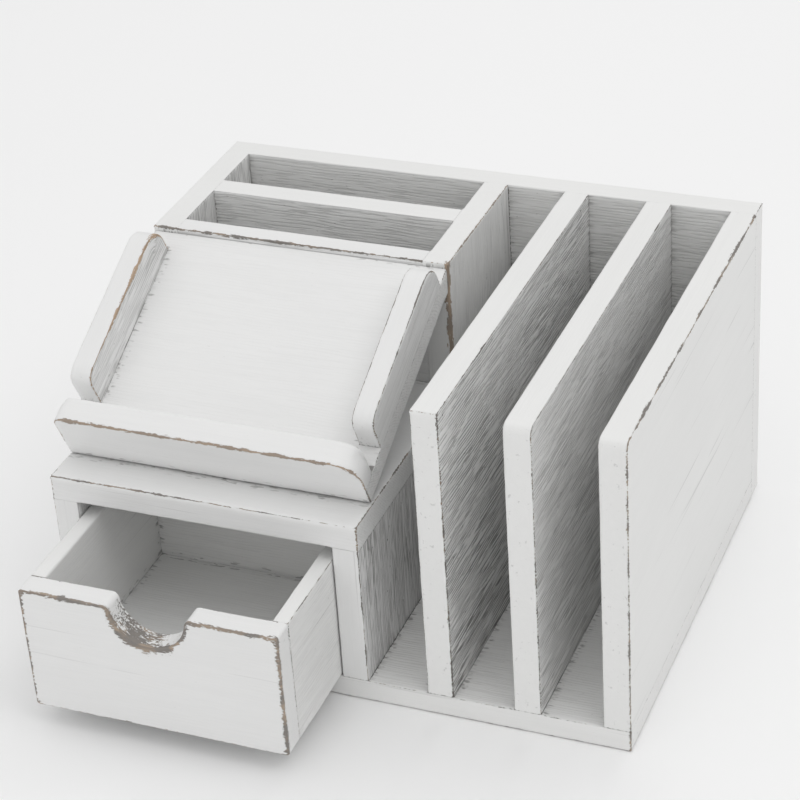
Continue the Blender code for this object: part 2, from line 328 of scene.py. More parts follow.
# How far the paint is rubbed back along each edge, in millimetres; a pair fades from one end to the other
WEAR = {
    "tray_front_lip": {"-y+z": 0.60, "-x-y": 0.55, "+x-y": 0.48, "-y-z": 0.05},
    "tray_left_lip": {"+x+z": (0.10, 0.95), "+x-y": 0.30, "+x+y": 0.70, "-x+z": -0.1, "-x-y": 0.0},
    "tray_right_lip": {"-x+z": 0.34, "+x+z": 0.16, "-x-y": 0.30, "-x+y": 0.4, "+x+y": 0.35, "+x-y": 0.25},
    "tray_panel": {"+x-y": 0.35, "+x+z": 0.10, "-x+z": 0.0, "-y-z": 0.20, "+x-z": 0.15, "-x-y": 0.2},
    "cabinet_top": {
        "-y+z": (0.48, 0.0), "-x+z": 0.42, "+x+z": 0.30, "+x-y": 0.42, "-x-y": 0.42, "-y-z": -0.1,
    },
    "cabinet_left_side": {"-x-y": 0.22},
    "cabinet_right_side": {"+x-y": 0.18},
    "pen_box_front": {"-y+z": 0.55},
    "pen_box_left_side": {"-y+z": 0.60, "-x+z": 0.05, "-x-y": 0.35},
    "pen_box_right_side": {"+x-y": 1.40, "-y+z": 0.12, "+x+z": 0.30},
    "divider_left": {"+x-y": 0.32, "+x+z": 0.08, "-x-y": 0.05, "-y+z": 0.05},
    "divider_middle": {"+x-y": 0.16, "+x+z": 0.06},
    "divider_right": {"+x-y": 0.38, "+x+z": 0.46},
    "back_board": {"+x+z": 0.05, "+y+z": 0.05, "+x+y": 0.15, "-x+y": 0.15},
    "base_board": {"+x-y": 0.60, "-x-y": 0.4, "-y-z": 0.16, "-y+z": 0.0, "+x-z": 0.16, "-x-z": 0.16},
    "drawer_left_side": {"-x+z": 0.10},
    "drawer_right_side": {"+x+z": 0.18, "+x-z": 0.2},
    "drawer_back": {"+y+z": 0.15},
}

# Half the width of an unbroken bare line along an edge, in millimetres
BARE_LINE = {
    "tray_front_lip": {"-y+z": 0.20},
    "tray_left_lip": {"+x+z": 0.16},
    "pen_box_right_side": {"+x-y": 0.45},
    "pen_box_front": {"-y+z": 0.10},
    "divider_right": {"+x+z": 0.07},
}

# Corners cut to a larger radius
LARGE_CORNERS = {
    "divider_middle": {"-y+z": 3.5},
    "divider_right": {"-y+z": 3.5},
    "tray_left_lip": {"-y+z": 5.5, "+y+z": 10.1},
    "tray_right_lip": {"-y+z": 5.5, "+y+z": 10.1},
    "tray_front_lip": {"-x+z": 4.0, "+x+z": 10.0, "-x+y": 4.0, "+x+y": 5.0},
}

# Exposed edges sanded rounder than the rest
ROUNDER = {
    "cabinet_top": {"-y+z": 1.5, "-x+z": 1.1},
    "tray_front_lip": {"-y+z": 0.9, "+y+z": 1.3},
    "tray_left_lip": {"+x+z": 1.0, "-x+z": 1.0},
    "tray_right_lip": {"+x+z": 1.0, "-x+z": 1.0},
    "divider_left": {"-x-y": 1.0, "-x+z": 0.9, "-y+z": 1.4},
}

# Direction of the grain
GRAIN = {
    "base_board": "x", "back_board": "x", "cabinet_top": "x", "tray_panel": "x", "tray_front_lip": "x",
    "pen_box_front": "x", "pen_box_partition": "x", "drawer_front": "x", "drawer_back": "x",
    "drawer_bottom": "x", "divider_left": "y", "divider_middle": "y", "divider_right": "y",
    "tray_left_lip": "y", "tray_right_lip": "y", "drawer_left_side": "y", "drawer_right_side": "y",
    "pen_box_left_side": "z", "pen_box_right_side": "z", "cabinet_left_side": "z", "cabinet_right_side": "z",
}

# How coarsely each face is brushed: a pair fades from the board's foot to its top. The brush marks are real,
# but on the walls of the slots and compartments their extra darkness at a pair's coarser end is painted shade
BRUSHED_AND_SHADE = {
    "base_board": {"+z": 0.17, "-z": 0.9},
    "back_board": {"-y": (0.9, 0.32), "+y": 0.4},
    "divider_left": {"+x": (1.9, 0.95), "-x": 0.8},
    "divider_middle": {"+x": (1.1, 0.6), "-x": 0.8},
    "divider_right": {"-x": 0.8, "+x": 0.0},
    "pen_box_left_side": {"+x": 0.8, "-x": 0.1},
    "pen_box_right_side": {"+x": (0.9, 0.28), "-x": 0.8},
    "pen_box_front": {"+y": 0.8, "-y": 0.3},
    "pen_box_partition": {"+y": 0.6, "-y": (0.8, 0.45)},
    "cabinet_left_side": {"+x": 0.7, "-x": 0.1},
    "cabinet_right_side": {"+x": (0.8, 1.6), "-x": 0.7},
    "cabinet_top": {"-z": 0.9, "+x": 0.25, "-y": 0.05},
    "tray_panel": {"+z": 0.05, "-z": 0.8, "+x": 0.35},
    "tray_right_lip": {"+x": 0.30, "-x": 0.1},
    "tray_left_lip": {"+x": 0.85},
    "drawer_right_side": {"+x": 0.24, "-x": 0.06},
    "drawer_left_side": {"-x": 0.4, "+x": 0.08},
    "drawer_back": {"-y": 0.15, "+y": 0.5},
    "drawer_bottom": {"+z": 0.1, "-z": 0.9},
}

# How far apart the boards' textures are: steps in millimetres, and a prime for each axis
GRAIN_SHIFT = 3.1
GRAIN_PRIMES = (97, 89, 83)

# How newly the paint was rubbed off, which leaves the timber a warmer brown
FRESH = {"tray_left_lip": 0.85, "tray_front_lip": 0.35, "pen_box_right_side": 0.25}

# Boards whose nail holes were left open, and how deep open and filled holes are, in millimetres
OPEN_NAILS = ("back_board", "base_board", "tray_panel", "drawer_bottom")
OPEN_NAIL_DEPTH = 0.55
FILLED_NAIL_DEPTH = 0.06

# Boards under the coarser of the two paints
BRUSHED_BOARDS = (
    "base_board", "drawer_bottom", "drawer_back", "drawer_left_side", "drawer_right_side", "back_board",
    "pen_box_partition", "divider_left", "divider_middle", "divider_right", "pen_box_left_side",
    "pen_box_right_side",
)


# ---------------------------------------------------------------- shader graphs

class Graph:
    """Short names for building a material's nodes."""

    def __init__(self, name):
        self.material = bpy.data.materials.new(name)
        self.material.use_nodes = True
        self.tree = self.material.node_tree
        self.shader = self.tree.nodes["Principled BSDF"]

    def node(self, kind, **settings):
        made = self.tree.nodes.new(kind)
        for key, value in settings.items():
            setattr(made, key, value)
        return made

    def feed(self, socket, value):
        if isinstance(value, bpy.types.NodeSocket):
            self.tree.links.new(value, socket)
        elif isinstance(value, tuple) and socket.type == "RGBA":
            socket.default_value = (*value, 1.0)
        else:
            socket.default_value = value

    def number(self, name):
        return self.node("ShaderNodeAttribute", attribute_name=name).outputs["Fac"]

    def vector(self, name):
        return self.node("ShaderNodeAttribute", attribute_name=name).outputs["Vector"]

    def math(self, operation, a, b=0.0):
        made = self.node("ShaderNodeMath", operation=operation)
        self.feed(made.inputs[0], a)
        self.feed(made.inputs[1], b)
        return made.outputs[0]

    def add(self, a, b):
        return self.math("ADD", a, b)

    def times(self, a, b):
        return self.math("MULTIPLY", a, b)

    def stretch(self, vector, scale):
        made = self.node("ShaderNodeVectorMath", operation="MULTIPLY")
        self.feed(made.inputs[0], vector)
        self.feed(made.inputs[1], scale)
        return made.outputs[0]

    def noise(self, vector, scale, detail=2.0, roughness=0.5, warp=0.0):
        made = self.node("ShaderNodeTexNoise")
        self.feed(made.inputs["Vector"], self.stretch(vector, scale))
        self.feed(made.inputs["Scale"], 1.0)
        self.feed(made.inputs["Detail"], detail)
        self.feed(made.inputs["Roughness"], roughness)
        self.feed(made.inputs["Distortion"], warp)
        return made.outputs["Fac"]

    def step(self, value, low, high):
        made = self.node("ShaderNodeMapRange", interpolation_type="SMOOTHSTEP")
        self.feed(made.inputs["Value"], value)
        self.feed(made.inputs["From Min"], low)
        self.feed(made.inputs["From Max"], high)
        return made.outputs["Result"]

    def blend(self, factor, a, b):
        made = self.node("ShaderNodeMix", data_type="RGBA")
        self.feed(made.inputs[0], factor)
        self.feed(made.inputs[6], a)
        self.feed(made.inputs[7], b)
        return made.outputs[2]

    def bump(self, height):
        """A normal from heights in millimetres."""
        made = self.node("ShaderNodeBump")
        self.feed(made.inputs["Height"], height)
        self.feed(made.inputs["Distance"], 1.0 * MM)
        self.feed(made.inputs["Strength"], 1.0)
        return made.outputs["Normal"]


def paint_material(name, paint, shade, streak_depth):
    """White paint over timber: brush marks, partly painted shade on the slot walls, shade in the grain,
    rubbed edges and dirt in the seams.
    """
    g = Graph(name)
    grain = g.vector("grain")
    worn = g.number("worn")
    seam = g.number("seam")
    brushed = g.number("brushed")
    corner = g.number("corner")

    places = g.node("ShaderNodeSeparateXYZ")
    g.feed(places.inputs[0], grain)
    across = g.add(places.outputs[1], places.outputs[2])

    def noise(kind):
        return g.noise(grain, *PAINT_NOISE[kind])

    def step(value, kind):
        return g.step(value, *PAINT_STEP[kind])

    def share(value, kind):
        return g.times(value, PAINT_SHARE[kind])

    def line(value, kind):
        slope, start = PAINT_LINE[kind]
        return g.add(g.times(value, slope), start)

    def margin(value, kind):
        middle, strength = MARGIN_NOISE[kind]
        return g.times(g.add(value, -middle), strength)

    def mix(a, b, amounts):
        return g.add(g.times(a, amounts[0]), g.times(b, amounts[1]))

    sway = noise("sway")
    phase = g.times(across, 2 * math.pi / BRISTLE_PITCH)
    comb = g.math("SINE", g.add(phase, g.times(sway, BRISTLE_SWAY)))
    gaps = noise("gaps")
    fine = noise("fine")
    wide = noise("wide")
    cloud = noise("cloud")
    patch = noise("patch")
    ragged = noise("ragged")
    tears = noise("tears")
    drift = noise("drift")
    grit = noise("grit")

    # Paint rubbed through near edges
    edge = g.add(margin(ragged, "ragged"), margin(drift, "drift"))
    edge = g.add(edge, margin(tears, "tears"))
    bare = step(g.add(worn, edge), "bare")

    # Dark lines between the brush's marks, on coarse faces; where the coarseness fades along a slot wall,
    # their darker end is painted shade
    strokes = mix(fine, wide, STROKES_MIX)
    ridge = g.times(step(comb, "comb"), step(gaps, "gaps"))
    ridge = g.math("MAXIMUM", ridge, share(step(fine, "fine"), "fine"))
    coverage = step(patch, "coverage")
    lines = g.times(g.times(ridge, brushed), line(coverage, "coverage"))
    smudge = share(g.times(step(wide, "smudge"), brushed), "smudge")
    lines = g.math("MAXIMUM", lines, smudge)

    # Hair cracks, but not on level faces
    hair = share(step(noise("hair"), "hair"), "hair")
    facing = g.node("ShaderNodeSeparateXYZ")
    g.feed(facing.inputs[0], g.node("ShaderNodeNewGeometry").outputs["Normal"])
    hair = g.times(hair, step(facing.outputs[2], "hair_steepness"))

    # Specks, patchy darkening within about 3 mm of a board that stands on the face, and nicks close to other
    # boards
    speck = step(noise("speck"), "speck")
    speck = g.times(speck, line(brushed, "speck"))
    corner_darkening = g.times(step(corner, "corner_darkening_distance"), step(strokes, "corner_darkening"))
    corner_darkening = g.times(corner_darkening, line(brushed, "corner_darkening"))
    nick = g.times(step(noise("nick"), "nick"), step(corner, "nick_distance"))
    nick = g.times(nick, step(brushed, "nick_brushed"))

    tone = mix(cloud, wide, TONE_MIX)
    colour = g.blend(step(tone, "tone"), paint, tuple(c * CLOUDED for c in paint))
    colour = g.blend(g.times(lines, streak_depth), colour, shade)
    colour = g.blend(corner_darkening, colour, shade)
    colour = g.blend(share(nick, "nick"), colour, shade)
    colour = g.blend(hair, colour, shade)
    colour = g.blend(speck, colour, SPECK)

    # Bare timber, then dirt in the joints
    timber = g.blend(step(fine, "timber_grain"), TIMBER, TIMBER_GRAIN)
    timber = g.blend(share(step(drift, "timber_aged"), "timber_aged"), timber, TIMBER_AGED)
    timber = g.blend(g.number("fresh"), timber, TIMBER_FRESH)
    colour = g.blend(bare, colour, timber)
    joint = g.math("MAXIMUM", seam, g.math("SUBTRACT", CORNER_DIRT, corner))
    dirt = step(g.add(joint, margin(tears, "dirt")), "dirt")
    colour = g.blend(share(dirt, "dirt"), colour, DIRT)
    g.feed(g.shader.inputs["Base Color"], colour)

    rough = g.add(mix(grit, bare, ROUGHNESS_MIX), line(brushed, "roughness"))
    g.feed(g.shader.inputs["Roughness"], rough)
    g.feed(g.shader.inputs["Specular IOR Level"], PAINT_SPECULAR)

    # Relief, where only the brush's marks depend on how coarsely the face is brushed
    height = g.add(g.times(ridge, PAINT_HEIGHT["ridge"]), g.times(fine, PAINT_HEIGHT["fine"]))
    height = g.add(height, g.times(wide, PAINT_HEIGHT["wide"]))
    height = g.times(height, g.add(brushed, SMOOTH_RELIEF))
    others = {"bare": bare, "dirt": dirt, "grit": grit, "speck": speck, "nick": nick}
    for kind, amount in others.items():
        height = g.add(height, g.times(amount, PAINT_HEIGHT[kind]))
    g.feed(g.shader.inputs["Normal"], g.bump(height))
    return g.material


def steel_material(name):
    """Drawn steel with light rust and smears of paint."""
    g = Graph(name)
    place = g.node("ShaderNodeTexCoord").outputs["Object"]
    blotch = g.noise(place, *STEEL_NOISE["blotch"])
    drawn = g.noise(place, *STEEL_NOISE["drawn"])
    smear = g.step(g.noise(place, *STEEL_NOISE["smear"]), 0.52, 0.60)
    colour = g.blend(g.step(blotch, 0.45, 0.65), BRIGHT_STEEL, RUST)
    colour = g.blend(g.times(smear, 0.7), colour, SMEARED_PAINT)
    g.feed(g.shader.inputs["Base Color"], colour)
    g.feed(g.shader.inputs["Metallic"], g.math("SUBTRACT", 0.95, g.times(smear, 0.9)))
    g.feed(g.shader.inputs["Roughness"], g.add(g.times(drawn, 0.25), 0.28))
    g.feed(g.shader.inputs["Normal"], g.bump(g.times(drawn, STEEL_RELIEF)))
    return g.material


# ---------------------------------------------------------------- boards

def smooth_noise(points, seed, size, waves=7):
    """Soft noise from about -1 to 1 at points (n, 3) in millimetres, with bumps of about that size."""
    pick = np.random.default_rng(seed)
    total = np.zeros(len(points))
    for _ in range(waves):
        direction = pick.normal(size=3)
        direction *= 2 * math.pi / (size * pick.uniform(0.7, 1.6)) / np.linalg.norm(direction)
        total += np.sin(points @ direction + pick.uniform(0, 2 * math.pi))
    return total / math.sqrt(waves) * 0.9


class Board:
    """A CAD node's box in its own frame: square to the world, or to the tray's slope."""

    def __init__(self, name):
        self.name = name
        node = frame["nodes"][name]
        self.body = node["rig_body"]
        tilt = TRAY_SLOPE if name.startswith("tray_") else 0.0
        self.turn = np.array(Matrix.Rotation(tilt, 3, "X"))
        world = np.array([v.co for v in node.data.vertices], float) / MM
        local = world @ self.turn
        self.low = local.min(0)
        self.high = local.max(0)
        self.seed = sum(ord(letter) * (place + 1) for place, letter in enumerate(name))

    def centre(self):
        return (self.low + self.high) / 2

    def half(self):
        return (self.high - self.low) / 2

    def to_world(self, points):
        """From this board's centred frame to the shared frame, in millimetres."""
        return (points + self.centre()) @ self.turn.T

    def outside(self, world):
        """How far points of the shared frame are past this board's faces on each of its axes."""
        return np.abs(world @ self.turn - self.centre()) - self.half()


def face_of(board, flat, axis, sign):
    """Which of a board's undisturbed points are on one of its faces."""
    return np.abs(flat[:, axis] - sign * board.half()[axis]) < ON_FACE


def other_axes(*axes):
    return [k for k in range(3) if k not in axes]


def covered(board, points, boards):
    """Which of the points, in the board's centred frame, are inside another board of its body."""
    world = board.to_world(points)
    found = np.zeros(len(points), bool)
    for other in boards:
        if other is not board and other.body == board.body:
            found |= np.all(other.outside(world) < 0, axis=1)
    return found


def close_seams(boards):
    """Grow each face that lies wholly against another board until they meet."""
    grown = []
    for board, axis, sign in itertools.product(boards, range(3), SIGNS):
        half = board.half()
        b, c = other_axes(axis)
        spots = np.array(list(itertools.product(SEAM_SPOTS, SEAM_SPOTS)))
        points = np.zeros((len(spots), 3))
        points[:, axis] = sign * (half[axis] + SEAM_PROBE)
        points[:, b] = spots[:, 0] * half[b]
        points[:, c] = spots[:, 1] * half[c]
        if covered(board, points, boards).mean() > SEAM_SHARE:
            grown.append((board, axis, sign))
    for board, axis, sign in grown:
        if sign > 0:
            board.high[axis] += SEAM
        else:
            board.low[axis] -= SEAM


def grid_line(half, extra):
    """Places along one axis of a board: close together at its ends and at its nails."""
    near = [d for d in EDGE_GRID if d < half * 0.8]
    inner = half - near[-1]
    count = max(2, int(math.ceil(2 * inner / GRID_STEP)))
    places = [half - d for d in near] + [d - half for d in near]
    places += list(np.linspace(-inner, inner, count + 1)[1:-1])
    kept = [e for e in extra if abs(e) < half - NAIL_GRID_INSET]
    for place in places:
        clear_of_nails = all(abs(place - e) > NAIL_GRID_CLEARANCE for e in extra)
        if clear_of_nails or abs(abs(place) - half) < EDGE_GRID_REACH:
            kept.append(place)
    return np.array(sorted(set(round(place, 4) for place in kept)))


def box_lattice(lines):
    """Vertices and quads of a box's surface on a lattice, with every corner shared."""
    counts = [len(line) for line in lines]
    keys = []
    for axis in range(3):
        b, c = other_axes(axis)
        for end in (0, counts[axis] - 1):
            i, j = np.meshgrid(np.arange(counts[b] - 1), np.arange(counts[c] - 1), indexing="ij")
            i, j = i.ravel(), j.ravel()
            corners = []
            for di, dj in ((0, 0), (1, 0), (1, 1), (0, 1)):
                index = np.zeros((len(i), 3), int)
                index[:, axis] = end
                index[:, b] = i + di
                index[:, c] = j + dj
                corners.append((index[:, 0] * counts[1] + index[:, 1]) * counts[2] + index[:, 2])
            quads = np.stack(corners, axis=1)
            outward = (end != 0) == (axis != 1)
            keys.append(quads if outward else quads[:, ::-1])
    keys = np.concatenate(keys)
    used, quads = np.unique(keys, return_inverse=True)
    quads = quads.reshape(keys.shape)
    k = used % counts[2]
    j = (used // counts[2]) % counts[1]
    i = used // (counts[1] * counts[2])
    points = np.stack([lines[0][i], lines[1][j], lines[2][k]], axis=1)
    return points, quads


def face_name(axis, sign):
    return ("+" if sign > 0 else "-") + AXES[axis]


def edge_name(a, sign_a, b, sign_b):
    return face_name(a, sign_a) + face_name(b, sign_b)


def pair(value):
    """A fading amount as its two ends: a single number stays the same all along."""
    return value if isinstance(value, tuple) else (value, value)


def along_edge(board, a, sign_a, b, sign_b, places, offset_a, offset_b):
    """Points beside an edge: offsets are outwards from its two faces."""
    half = board.half()
    points = np.zeros((len(places), 3))
    points[:, a] = sign_a * (half[a] + offset_a)
    points[:, b] = sign_b * (half[b] + offset_b)
    points[:, 3 - a - b] = places
    return points


def wear_along(board, name, places):
    """How far paint is rubbed back at places along an edge."""
    ends = pair(WEAR.get(board.name, {}).get(name, UNWORN))
    return np.interp(places, [places[0], places[-1]], ends)


def ragged_scale(band):
    """Wide rubbed bands are more ragged than narrow ones: how far to stretch their margins."""
    return 0.75 + 1.25 * np.clip(band, 0, 2)


def flush_line(board, a, sign_a, b, sign_b, face):
    """How far dirt shows beside a joint whose two faces are level: most are filled and painted over."""
    sign = sign_b if face == b else sign_a
    other, other_sign = (a, sign_a) if face == b else (b, sign_b)
    if face == 2 and sign > 0:
        return FILLED_JOINT
    if face == 1 and sign < 0:
        on_base = other == 2 and other_sign < 0 and board.low[2] < LOWEST_FOOT
        return BASE_FRONT_JOINT if on_base else FILLED_JOINT
    return LEVEL_JOINT


def round_off(points, a, sign_a, b, sign_b, half, radius, inside_a, inside_b):
    """Pull the points that are inside an edge's square of this radius onto its rounding."""
    hit = (inside_a > 0) & (inside_b > 0)
    scale = np.maximum(inside_a, inside_b)[hit] / np.hypot(inside_a, inside_b)[hit]
    points[hit, a] = sign_a * (half[a] - radius[hit] + inside_a[hit] * scale)
    points[hit, b] = sign_b * (half[b] - radius[hit] + inside_b[hit] * scale)


def ease_edges(board, points, lines, boards):
    """Round the exposed edges, and return how far paint is rubbed off and dirt reaches at each vertex."""
    half = board.half()
    flat = points.copy()
    worn = np.full(len(points), FAR)
    seam = np.full(len(points), FAR)
    large = LARGE_CORNERS.get(board.name, {})
    inner_joint = DRAWER_JOINT if board.body == "drawer" else JOINT
    for (a, b), sign_a, sign_b in itertools.product(EDGE_PAIRS, SIGNS, SIGNS):
        name = edge_name(a, sign_a, b, sign_b)
        if name in large:
            continue
        c = 3 - a - b
        places = lines[c]
        edge = (board, a, sign_a, b, sign_b, places)
        beyond_a = covered(board, along_edge(*edge, EDGE_PROBE, -EDGE_PROBE), boards)
        beyond_b = covered(board, along_edge(*edge, -EDGE_PROBE, EDGE_PROBE), boards)
        beyond = covered(board, along_edge(*edge, EDGE_PROBE, EDGE_PROBE), boards)
        open_edge = (~(beyond_a | beyond_b)).astype(float)
        line = board.to_world(along_edge(*edge, 0, 0))
        slow = smooth_noise(line, EDGE_SEED, SLOW_EDGE)
        quick = smooth_noise(line, EDGE_SEED + 1, QUICK_EDGE)
        from_a = half[a] - sign_a * flat[:, a]
        from_b = half[b] - sign_b * flat[:, b]
        width = wear_along(board, name, places)
        base_radius = ROUNDER.get(board.name, {}).get(name, EDGE_RADIUS)
        uneven = 1 + ROUNDING_SLOW * slow + ROUNDING_QUICK * quick
        radius = base_radius * uneven + ROUNDING_WEAR * np.maximum(width, 0)
        radius = open_edge * np.clip(radius, *RADIUS_LIMITS)
        r = np.interp(flat[:, c], places, radius)
        round_off(points, a, sign_a, b, sign_b, half, r, r - from_a, r - from_b)
        band = width + BAND_UNEVEN * np.abs(width) * (BAND_SLOW * slow + BAND_QUICK * quick)
        distance = np.maximum(from_a, from_b)
        here = np.interp(flat[:, c], places, band)
        closed = np.interp(flat[:, c], places, open_edge) < 0.5
        margin = (here - distance) / ragged_scale(here)
        core = BARE_LINE.get(board.name, {}).get(name, FAR)
        margin = np.maximum(margin, (core - distance) * LINE_CRISPNESS)
        worn = np.maximum(worn, np.where(closed, FAR, margin))
        for own, other, face in ((beyond_a, beyond_b, b), (beyond_b, beyond_a, a)):
            reach = np.where(beyond, inner_joint, flush_line(board, a, sign_a, b, sign_b, face))
            reach = np.where(own & ~other, reach, FAR)
            on_face = (from_b if face == b else from_a) < ON_FACE
            gap = from_a if face == b else from_b
            dirt = np.interp(flat[:, c], places, reach) - gap
            seam = np.maximum(seam, np.where(on_face, dirt, FAR))
    for name, radius in large.items():
        a, b = AXES.index(name[1]), AXES.index(name[3])
        sign_a = 1 if name[0] == "+" else -1
        sign_b = 1 if name[2] == "+" else -1
        u = sign_a * points[:, a] - (half[a] - radius)
        v = sign_b * points[:, b] - (half[b] - radius)
        round_off(points, a, sign_a, b, sign_b, half, np.full(len(points), radius), u, v)
    return flat, worn, seam


def ripple(board, points, flat):
    """Hand-sanded faces aren't flat: let them dip inwards a little."""
    half = board.half()
    for axis, sign in itertools.product(range(3), SIGNS):
        on_face = face_of(board, flat, axis, sign)
        dip = 0.5 + 0.5 * smooth_noise(flat, board.seed + 7 * axis + sign + 100, RIPPLE_SIZE)
        rim = np.min([half[k] - np.abs(flat[:, k]) for k in other_axes(axis)], axis=0)
        dip = np.clip(dip, 0, 1) * np.clip(rim / RIPPLE_RIM, 0, 1)
        points[on_face, axis] -= sign * WAVINESS * dip[on_face]


def nails_of(board):
    """Nail heads on this board: (axis, sign, centre in its frame)."""
    found = []
    for name, node in frame["nodes"].items():
        if not name.startswith("brad_") or node["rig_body"] != board.body:
            continue
        world = np.array([v.co for v in node.data.vertices], float) / MM
        local = world @ board.turn - board.centre()
        size = local.max(0) - local.min(0)
        axis = int(np.argmax(size))
        middle = (local.max(0) + local.min(0)) / 2
        over = all(abs(middle[k]) < board.half()[k] - NAIL_MARGIN for k in other_axes(axis))
        for sign in SIGNS:
            end = local[:, axis].max() if sign > 0 else local[:, axis].min()
            cover = board.half()[axis] - sign * end
            if over and NAIL_COVER[0] < cover < NAIL_COVER[1]:
                found.append((axis, sign, middle))
    return found


def sink_nails(board, points, flat, nails):
    """A small round pit over each nail head."""
    depth = OPEN_NAIL_DEPTH if board.name in OPEN_NAILS else FILLED_NAIL_DEPTH
    for axis, sign, middle in nails:
        b, c = other_axes(axis)
        u = flat[:, b] - middle[b]
        v = flat[:, c] - middle[c]
        square = np.maximum(np.abs(u), np.abs(v))
        near = face_of(board, flat, axis, sign) & (square < NAIL_PATCH) & (square > 0)
        roundness = square / np.hypot(u, v).clip(1e-9)
        share = np.clip((NAIL_OUTER - square) / NAIL_FADE, 0, 1)
        scale = 1 + (roundness - 1) * share
        points[near, b] = middle[b] + (u * scale)[near]
        points[near, c] = middle[c] + (v * scale)[near]
        fall = np.clip((NAIL_MOUTH - square) / NAIL_WALL, 0, 1)
        points[near, axis] -= sign * (depth * fall)[near]


def grain_places(board, points):
    """Texture places with the grain first, shifted so that no two boards match."""
    axis = AXES.index(GRAIN[board.name])
    order = [axis] + other_axes(axis)
    shift = np.array([board.seed % prime for prime in GRAIN_PRIMES]) * GRAIN_SHIFT
    return points[:, order] + shift


def corner_distance(board, flat, boards):
    """How far each vertex is, across its face, from another board standing on that face.

    The drawer's vertices count as a little further off, because its joints are cleaner.
    """
    outward = np.zeros_like(flat)
    for axis, sign in itertools.product(range(3), SIGNS):
        outward[face_of(board, flat, axis, sign), axis] += sign
    outward /= np.maximum(np.linalg.norm(outward, axis=1), 1e-9)[:, None]
    probes = [board.to_world(flat + height * outward) for height in CORNER_PROBES]
    nearest = np.full(len(flat), CLEAR)
    for other in boards:
        if other is board or other.body != board.body:
            continue
        gaps = [np.linalg.norm(np.maximum(other.outside(world), 0), axis=1) for world in probes]
        nearest = np.minimum(nearest, np.maximum(*gaps))
    return nearest + (JOINT - DRAWER_JOINT if board.body == "drawer" else 0.0)


def brushed_and_shaded_faces(board, flat):
    """How coarsely each vertex is brushed, with the painted shade of the slot walls included: the mean of the
    faces that meet there.
    """
    half = board.half()
    amount = np.zeros(len(flat))
    hits = np.zeros(len(flat))
    for axis, sign in itertools.product(range(3), SIGNS):
        on_face = face_of(board, flat, axis, sign)
        foot, top = pair(BRUSHED_AND_SHADE.get(board.name, {}).get(face_name(axis, sign), UNBRUSHED))
        # A fading pair darkens one end of a slot wall with more brush marks: painted shade
        amount[on_face] += np.interp(flat[on_face, 2], [-half[2], half[2]], [foot, top])
        hits[on_face] += 1
    return amount / np.maximum(hits, 1)


def make_piece(board, points, faces, worn, seam, brushed, grain, corner):
    """Turn millimetre arrays in the board's frame into a piece that stands for its CAD node."""
    mesh = bpy.data.meshes.new(board.name + "_painted")
    mesh.from_pydata((points @ board.turn.T * MM).tolist(), [], [tuple(f) for f in faces])
    mesh.shade_smooth()
    mesh.set_sharp_from_angle(angle=SHARP_ANGLE)
    fresh = np.full(len(points), FRESH.get(board.name, 0.0))
    layers = {"worn": worn, "seam": seam, "brushed": brushed, "corner": corner, "fresh": fresh}
    for name, values in layers.items():
        layer = mesh.attributes.new(name, "FLOAT", "POINT")
        layer.data.foreach_set("value", values.astype(np.float32))
    layer = mesh.attributes.new("grain", "FLOAT_VECTOR", "POINT")
    layer.data.foreach_set("vector", grain.astype(np.float32).ravel())
    piece = bpy.data.objects.new(board.name + "_painted", mesh)
    bpy.context.scene.collection.objects.link(piece)
    piece.matrix_world = Matrix.Translation(Vector(board.to_world(np.zeros((1, 3)))[0] * MM))
    is_brushed = board.name in BRUSHED_BOARDS
    mesh.materials.append(BRUSHED_PAINT if is_brushed else WORN_PAINT)
    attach(piece, board.body)
    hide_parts(board.name)
    return piece


def make_board(board, boards):
    """Build any board that is a plain box, or nearly one."""
    nails = nails_of(board)
    lines = []
    for axis in range(3):
        extra = []
        for nail_axis, _, middle in nails:
            if nail_axis != axis and not any(abs(middle[axis] - e) < SAME_PLACE for e in extra):
                extra.append(middle[axis])
        extra = [e + d for e in extra for d in NAIL_GRID]
        lines.append(grid_line(board.half()[axis], extra))
    points, quads = box_lattice(lines)
    flat, worn, seam = ease_edges(board, points, lines, boards)
    ripple(board, points, flat)
    sink_nails(board, points, flat, nails)
    if board.name == "tray_panel":
        # Its upper end is cut upright, against the pen box
        half = board.half()
        share = (flat[:, 1] + half[1]) / (2 * half[1])
        points[:, 1] -= share * (half[2] - flat[:, 2]) * math.tan(TRAY_SLOPE)
    brushed = brushed_and_shaded_faces(board, flat)
    corner = corner_distance(board, flat, boards)
    return make_piece(board, points, quads.tolist(), worn, seam, brushed, grain_places(board, flat), corner)


# ---------------------------------------------------------------- drawer front

def arc(centre, radius, start, end, steps):
    """Points along an arc, from one angle to another in degrees."""
    angles = np.radians(np.linspace(start, end, steps + 1))
    return [(centre[0] + radius * math.cos(t), centre[1] + radius * math.sin(t)) for t in angles]


